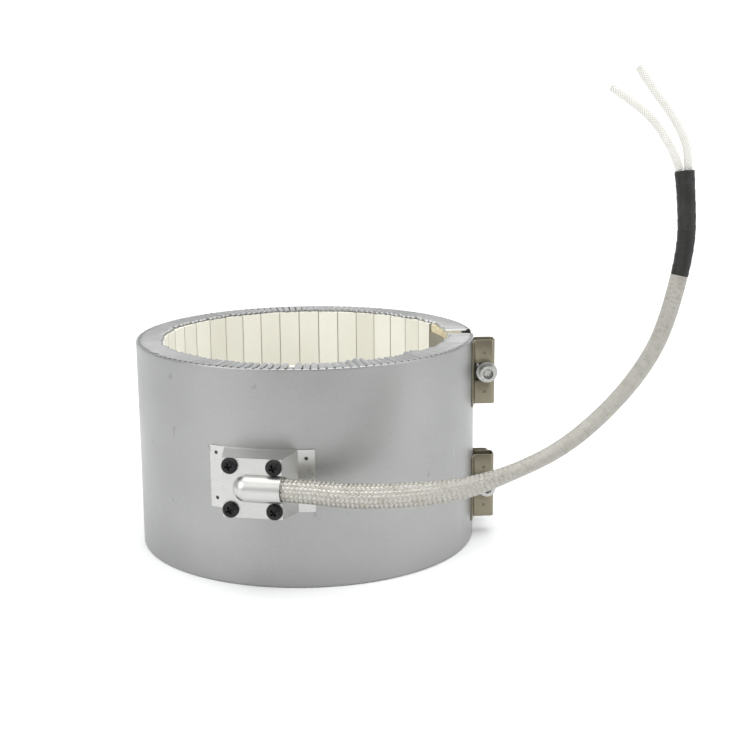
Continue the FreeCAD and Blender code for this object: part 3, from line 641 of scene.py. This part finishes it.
def pan_head():
    """One pan head with its cross recess, standing on the XY plane."""
    angles = np.linspace(0, 2 * math.pi, PAN_STEPS, endpoint=False)
    points = [(share * PAN_RADIUS * math.cos(a), share * PAN_RADIUS * math.sin(a), rise * PAN_HEIGHT)
              for share, rise in PAN_PROFILE for a in angles]
    mesh = mesh_from("pan_head", points, grid_faces(len(PAN_PROFILE), PAN_STEPS, closed=True, flip=True))
    work = bmesh.new()
    work.from_mesh(mesh)
    bmesh.ops.remove_doubles(work, verts=work.verts, dist=1e-6)
    bmesh.ops.holes_fill(work, edges=[edge for edge in work.edges if edge.is_boundary])
    bmesh.ops.recalc_face_normals(work, faces=work.faces)
    work.to_mesh(mesh)
    work.free()
    head = bpy.data.objects.new("pan_head", mesh)
    bpy.context.collection.objects.link(head)
    cutters = []
    for turn in (0, math.pi / 2):
        corners = [(x * sx, y * sy, z) for x, y, z in RECESS_ENDS
                   for sx, sy in ((-1, -1), (1, -1), (1, 1), (-1, 1))]
        faces = [(3, 2, 1, 0), (4, 5, 6, 7)]
        faces += [(i, (i + 1) % 4, (i + 1) % 4 + 4, i + 4) for i in range(4)]
        cutter = bpy.data.objects.new("cross", mesh_from("cross", corners, faces))
        cutter.rotation_euler.z = turn
        bpy.context.collection.objects.link(cutter)
        cutters.append(cutter)
        recess = head.modifiers.new("recess", "BOOLEAN")
        recess.object, recess.solver = cutter, "EXACT"
    bpy.context.view_layer.update()
    solid = bpy.data.meshes.new_from_object(head.evaluated_get(bpy.context.evaluated_depsgraph_get()))
    for thing in [head] + cutters:
        bpy.data.objects.remove(thing)
    return solid


def black_screw_finish():
    """Black-oxide steel with greyer rubbed patches."""
    finish = Finish("black_oxide", specular_ior_level=0.22)
    rub = finish.noise(finish.place(), 700, 3)
    body = finish.mix(finish.band(rub, 0.45, 0.75), (0.006, 0.006, 0.007), (0.022, 0.022, 0.023))
    finish.feed(base_color=body, roughness=finish.band(rub, 0.3, 0.7, 0.34, 0.5))
    finish.bump(rub, 0.00008, 0.5)
    return finish.material


def add_cover_screws():
    solid = pan_head()
    points, faces = [], []
    places = [(across, up) for across in (-1, 1) for up in (-1, 1)]
    facing = Matrix.Rotation(BOX_TURN, 3, "Z") @ Matrix.Rotation(math.pi / 2, 3, "Y")
    for (across, up), turn in zip(places, SCREW_TURNS):
        seat = box_point(BOX_FRONT + COVER_SHEET, across * SCREW_HALF_PITCH,
                         BOX_LEVEL + up * SCREW_HALF_PITCH)
        spin = facing @ Matrix.Rotation(turn, 3, "Z")
        first = len(points)
        points += [seat + spin @ vertex.co for vertex in solid.vertices]
        faces += [tuple(first + index for index in polygon.vertices) for polygon in solid.polygons]
    mesh = mesh_from("cover_screw_heads", points, faces)
    heads = add_object("cover_screw_heads", mesh, black_screw_finish())
    set_sharp_edges(mesh, 40)
    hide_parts("terminal_cover_screws")


def add_terminal_box():
    pressed = steel_finish("box_sheet", (0.50, 0.50, 0.485), 0.30, cloud=0.16)
    weld = steel_finish("box_weld_oxide", (0.07, 0.065, 0.06), 0.5)
    dress("terminal_bracket", pressed, 0.0004)
    dress("terminal_cover", pressed, 0.00035)
    dress("terminal_block", ceramic_finish(), 0.0004)
    brass = Finish("stud_brass", metallic=1.0, roughness=0.3)
    stain = brass.noise(brass.place(), 300, 2)
    brass.feed(base_color=brass.mix(stain, (0.52, 0.37, 0.13), (0.66, 0.50, 0.22)))
    dress("terminal_studs", brass.material)
    places = []
    for across, rise in FLANGE_WELDS:
        angle = BOX_TURN + math.radians(across)
        foot = FLANGE_OUTSIDE * math.cos(angle), FLANGE_OUTSIDE * math.sin(angle)
        places.append(((*foot, BOX_LEVEL + rise / 1000),
                       (math.cos(angle), math.sin(angle), 0)))
    spot_welds("flange_spot_welds", places, 0.0011, weld)
    add_cover_screws()


add_terminal_box()


# ---- leads ----------------------------------------------------------------------------------
# A flat-lying oval braid of flat wire ribbons stands out in a stiff sweep. Black tape binds its
# end, and two glass-fibre leads come out of the tape and part.

BRAID_ROUTE = [(-0.0304, -0.1161, 0.0635), (-0.0034, -0.1232, 0.0633), (0.024, -0.1318, 0.0622),
               (0.052, -0.1387, 0.0644), (0.081, -0.143, 0.068), (0.108, -0.145, 0.0775),
               (0.134, -0.145, 0.090), (0.157, -0.1435, 0.109), (0.176, -0.142, 0.131),
               (0.189, -0.140, 0.1552), (0.195, -0.1372, 0.180)]
SLEEVE_ROUTE = [(0.1951, -0.1372, 0.1802), (0.1982, -0.1357, 0.193), (0.1989, -0.1348, 0.211),
                (0.1966, -0.1342, 0.234)]
LEAD_ROUTES = {
    "white_lead_a": [(0.1986, -0.1342, 0.2344), (0.1984, -0.134, 0.2445), (0.1938, -0.1336, 0.2555),
                     (0.187, -0.1332, 0.266), (0.1785, -0.1325, 0.2765), (0.1717, -0.132, 0.287)],
    "white_lead_b": [(0.1941, -0.1341, 0.2344), (0.1918, -0.134, 0.2415), (0.1865, -0.134, 0.2505),
                     (0.1795, -0.134, 0.2605), (0.168, -0.134, 0.270), (0.1577, -0.134, 0.2768)],
}
BRAID_LENGTH, LEAD_A_LENGTH, LEAD_B_LENGTH = 0.2842, 0.0604, 0.0573
BRAID_DIAMETER, SLEEVE_DIAMETER, LEAD_DIAMETER = 0.013, 0.0112, 0.0044
CARRIERS, BRAID_LEAD = 24, 0.062
CORE_COLUMNS, SLEEVE_COLUMNS, LEAD_COLUMNS = 24, 48, 28
TAPE_WRAPS, MOUTH_START = 9, 0.82
STRAND_SCALE = 0.01


class Track:
    """A cord's centreline read from its NURBS route, with a frame that doesn't twist."""

    def __init__(self, route):
        curve = bpy.data.curves.new("route", "CURVE")
        curve.dimensions = "3D"
        spline = curve.splines.new("NURBS")
        spline.points.add(len(route) - 1)
        for point, place in zip(spline.points, route):
            point.co = (*place, 1)
        spline.order_u = 3
        spline.use_endpoint_u = True
        spline.resolution_u = 24
        holder = bpy.data.objects.new("route", curve)
        mesh = bpy.data.meshes.new_from_object(holder)
        self.points = np.array([vertex.co[:] for vertex in mesh.vertices])
        bpy.data.objects.remove(holder)
        bpy.data.curves.remove(curve)
        bpy.data.meshes.remove(mesh)
        steps = np.linalg.norm(np.diff(self.points, axis=0), axis=1)
        self.reach = np.concatenate([[0], np.cumsum(steps)])
        self.length = self.reach[-1]
        ahead = np.gradient(self.points, self.reach, axis=0)
        self.ahead = ahead / np.linalg.norm(ahead, axis=1)[:, None]
        side = np.cross(self.ahead[0], (0, 0, 1))
        sides = []
        for direction in self.ahead:
            side = side - direction * side.dot(direction)
            side = side / np.linalg.norm(side)
            sides.append(side)
        self.side = np.array(sides)

    def at(self, distance, table):
        return np.stack([np.interp(distance, self.reach, table[:, axis]) for axis in range(3)], axis=-1)

    def surround(self, distance, sideways, upward):
        """Points beside the centreline at each distance along it."""
        side, ahead = self.at(distance, self.side), self.at(distance, self.ahead)
        up = np.cross(side, ahead)
        return self.at(distance, self.points) + side * sideways[..., None] + up * upward[..., None]


def oval(angle, radius, wide, narrow, turn):
    """Sideways and upward parts of a point on an oval whose long axis is turned from upright."""
    along = radius * wide * np.cos(angle - turn)
    across = radius * narrow * np.sin(angle - turn)
    return along * np.sin(turn) + across * np.cos(turn), along * np.cos(turn) - across * np.sin(turn)


def braid_shape(distance):
    """Long and short half-axes over the nominal radius, and the turn of the long axis."""
    wide = np.interp(distance, (0, 0.02, 0.05, 0.16, 0.30), (1.00, 1.03, 1.11, 1.10, 1.05))
    narrow = np.interp(distance, (0, 0.03, 0.08, 0.16, 0.30), (0.92, 0.88, 0.72, 0.66, 0.72))
    turn = np.interp(distance, (0, 0.09, 0.125, 0.15, 0.19, 0.23, 0.29),
                     (0, 0.1, 0.7, 1.35, 1.45, 1.15, 1.25))
    return wide, narrow, turn


def braid_ribbons(track, radius):
    """Flat ribbons, as many each way, laid over two and under two."""
    samples = np.linspace(0, track.length, 660)
    edges = np.array([-0.46, 0.0, 0.46])
    points, faces, marks = [], [], []
    step = 2 * math.pi / CARRIERS
    for way in (1, -1):
        for carrier in range(CARRIERS):
            distance, edge = np.meshgrid(samples, edges, indexing="ij")
            angle = (carrier + edge) * step + way * 2 * math.pi * distance / BRAID_LEAD
            met = (angle + way * 2 * math.pi * distance / BRAID_LEAD) / step
            height = way * np.cos(2 * math.pi * (met + carrier - 0.5) / 4)
            level = radius - 0.0004 + 0.00028 * height - 0.00016 * (2 * edge) ** 2
            sideways, upward = oval(angle, level, *braid_shape(distance))
            place = track.surround(distance, sideways, upward)
            first = sum(len(block) for block in points)
            points.append(place.reshape(-1, 3))
            faces += grid_faces(len(samples), len(edges), first, flip=way > 0)
            marks.append(np.stack([edge + 0.5, distance / STRAND_SCALE], axis=-1).reshape(-1, 2))
    return np.vstack(points), faces, np.vstack(marks)


def tube(track, samples, columns, shape):
    """Closed tube; shape gives sideways and upward offsets for distances and angles."""
    angles = np.linspace(0, 2 * math.pi, columns, endpoint=False)
    distance, angle = np.meshgrid(samples, angles, indexing="ij")
    return track.surround(distance, *shape(distance, angle)).reshape(-1, 3), distance, angle


def add_marks(mesh, marks):
    """Surface coordinates: across and along the strand."""
    layer = mesh.uv_layers.new(name="strand")
    for loop in mesh.loops:
        layer.data[loop.index].uv = marks[loop.vertex_index]


def braid_finish():
    """Tinned wires lying side by side in each ribbon, with painted shade between the wires and in the
    hollows between the ribbons.
    """
    finish = Finish("braid_wire", metallic=0.85, specular_ior_level=0.5)
    strand = finish.node("ShaderNodeUVMap", {"uv_map": "strand"})
    across, along, _ = finish.split(strand)
    wires = finish.maths("ABSOLUTE", finish.maths("SINE", across * (math.pi * 4)))
    tint = finish.noise(finish.place(), 260, 2)
    rim = finish.band(finish.maths("ABSOLUTE", across - 0.5), 0.38, 0.5)
    stretched = finish.node("ShaderNodeCombineXYZ", None, {0: across * 8, 1: along * 3})
    ripple = finish.noise(stretched, 1.5, 2)
    # Painted shade: the wire pattern darkens the colour between the wires, and rim darkens each ribbon's
    # edges near black, where the hollows between ribbons lie.
    body = finish.mix(finish.band(wires, 0.1, 0.8), (0.12, 0.113, 0.10), (0.66, 0.645, 0.59))
    body = finish.mix(rim * 0.85, body, (0.03, 0.027, 0.022))
    body = finish.mix(finish.band(tint, 0.45, 0.75, 0, 0.5), body, (0.36, 0.335, 0.28))
    finish.feed(base_color=body, roughness=finish.band(ripple, 0.3, 0.7, 0.26, 0.42))
    finish.bump(wires + ripple * 0.3, 0.00012, 0.8)
    return finish.material


def add_braid(sleeve):
    """The ribbons round a plain core that stands for the leads inside and is painted with the dark shade
    seen between the ribbons.
    """
    track = Track(BRAID_ROUTE)
    radius = BRAID_DIAMETER / 2
    points, faces, marks = braid_ribbons(track, radius)
    samples = np.linspace(0, track.length, 120)
    core, _, _ = tube(track, samples, CORE_COLUMNS,
                      lambda distance, angle: oval(angle, radius - 0.0010, *braid_shape(distance)))
    first = len(points)
    faces += grid_faces(len(samples), CORE_COLUMNS, first, closed=True, flip=True)
    faces += [tuple(first + i for i in range(CORE_COLUMNS)),
              tuple(first + len(core) - 1 - i for i in range(CORE_COLUMNS))]
    mesh = mesh_from("braid", np.vstack([points, core]), faces)
    # The core takes the strand mark 0.02, which the braid finish paints as the near-black shade of a
    # ribbon's edge, so the gaps between ribbons look dark.
    add_marks(mesh, np.vstack([marks, np.full((len(core), 2), 0.02)]))
    braid = add_object("braid", mesh, braid_finish())
    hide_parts("braided_lead")


def add_sleeve():
    """Black tape wound over the end of the braid, a little flared where the leads come out."""
    track = Track(SLEEVE_ROUTE)

    def shape(distance, angle):
        share = distance / track.length
        ridge = (share * TAPE_WRAPS - angle / (2 * math.pi)) % 1
        flare = np.clip((share - MOUTH_START) / 0.18, 0, 1)
        radius = SLEEVE_DIAMETER / 2 * (0.95 + 0.045 * ridge + 0.05 * flare)
        turn = np.full_like(distance, 1.2)
        return oval(angle, radius, 1.02, np.interp(share, (0, 1), (0.80, 0.88)), turn)

    samples = np.linspace(0, track.length, 150)
    outer, _, _ = tube(track, samples, SLEEVE_COLUMNS, shape)
    mouth = np.linspace(track.length, track.length * MOUTH_START, 8)
    inner, _, _ = tube(track, mouth, SLEEVE_COLUMNS,
                       lambda distance, angle: tuple(0.86 * part for part in shape(distance, angle)))
    points = np.vstack([outer, inner])
    rows = len(samples) + len(mouth)
    faces = grid_faces(rows, SLEEVE_COLUMNS, closed=True, flip=True)
    faces += [tuple(range(SLEEVE_COLUMNS)), tuple(len(points) - 1 - i for i in range(SLEEVE_COLUMNS))]
    finish = Finish("black_tape", specular_ior_level=0.4)
    weave = finish.noise(finish.place((1, 1, 2)), 900, 2)
    dust = finish.noise(finish.place(), 120, 3)
    body = finish.mix(finish.band(dust, 0.4, 0.75, 0, 0.6), (0.010, 0.010, 0.009), (0.030, 0.031, 0.028))
    finish.feed(base_color=body, roughness=finish.band(weave, 0.3, 0.7, 0.5, 0.68))
    finish.bump(weave, 0.00015, 0.6)
    sleeve = add_object("tape_sleeve", mesh_from("tape_sleeve", points, faces), finish.material)
    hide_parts("black_sleeve")
    return sleeve


def lead_finish():
    """White glass-fibre braid: a fine diamond relief, a little soiled."""
    finish = Finish("glass_fibre", roughness=0.75, specular_ior_level=0.3)
    strand = finish.node("ShaderNodeUVMap", {"uv_map": "strand"})
    across, along, _ = finish.split(strand)
    one = finish.maths("SINE", (across * 8 + along * 7) * (2 * math.pi))
    other = finish.maths("SINE", (across * 8 - along * 7) * (2 * math.pi))
    diamond = finish.maths("MAXIMUM", one, other)
    soil = finish.noise(finish.place(), 140, 3)
    body = finish.mix(finish.band(diamond, -0.6, 0.7), (0.56, 0.55, 0.50), (0.86, 0.85, 0.81))
    finish.feed(base_color=finish.mix(finish.band(soil, 0.45, 0.8, 0, 0.3), body, (0.60, 0.57, 0.48)))
    finish.bump(diamond, 0.00022, 0.8)
    return finish.material


def add_leads():
    """Two round leads, cut off square, with the wire showing in each end."""
    fibre = lead_finish()
    wire = Finish("wire_ends", metallic=0.9, roughness=0.4)
    grain = wire.noise(wire.place(), 2500, 2)
    wire.feed(base_color=wire.mix(grain, (0.16, 0.15, 0.14), (0.55, 0.53, 0.50)))
    wire.bump(grain, 0.0003)
    for (name, route), length in zip(LEAD_ROUTES.items(), (LEAD_A_LENGTH, LEAD_B_LENGTH)):
        track = Track(route)
        samples = np.linspace(0, track.length, 90)
        radius = LEAD_DIAMETER / 2

        def shape(distance, angle):
            swell = radius * (0.97 + 0.02 * np.sin(distance * 700 + 2 * angle))
            return swell * np.cos(angle), swell * np.sin(angle)

        points, distance, angle = tube(track, samples, LEAD_COLUMNS, shape)
        last = np.full(LEAD_COLUMNS, track.length)
        end = track.surround(last, *[0.62 * part for part in shape(last, angle[0])])
        points = np.vstack([points, end])
        faces = grid_faces(len(samples) + 1, LEAD_COLUMNS, closed=True, flip=True)
        faces += [tuple(range(LEAD_COLUMNS)), tuple(len(points) - 1 - i for i in range(LEAD_COLUMNS))]
        mesh = mesh_from(name + "_braid", points, faces)
        marks = np.stack([angle / (2 * math.pi), distance / STRAND_SCALE], axis=-1).reshape(-1, 2)
        add_marks(mesh, np.vstack([marks, marks[-LEAD_COLUMNS:]]))
        lead = add_object(name + "_braid", mesh, fibre)
        mesh.materials.append(wire.material)
        mesh.polygons[len(mesh.polygons) - 1].material_index = 1
        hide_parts(name)


add_braid(add_sleeve())
add_leads()
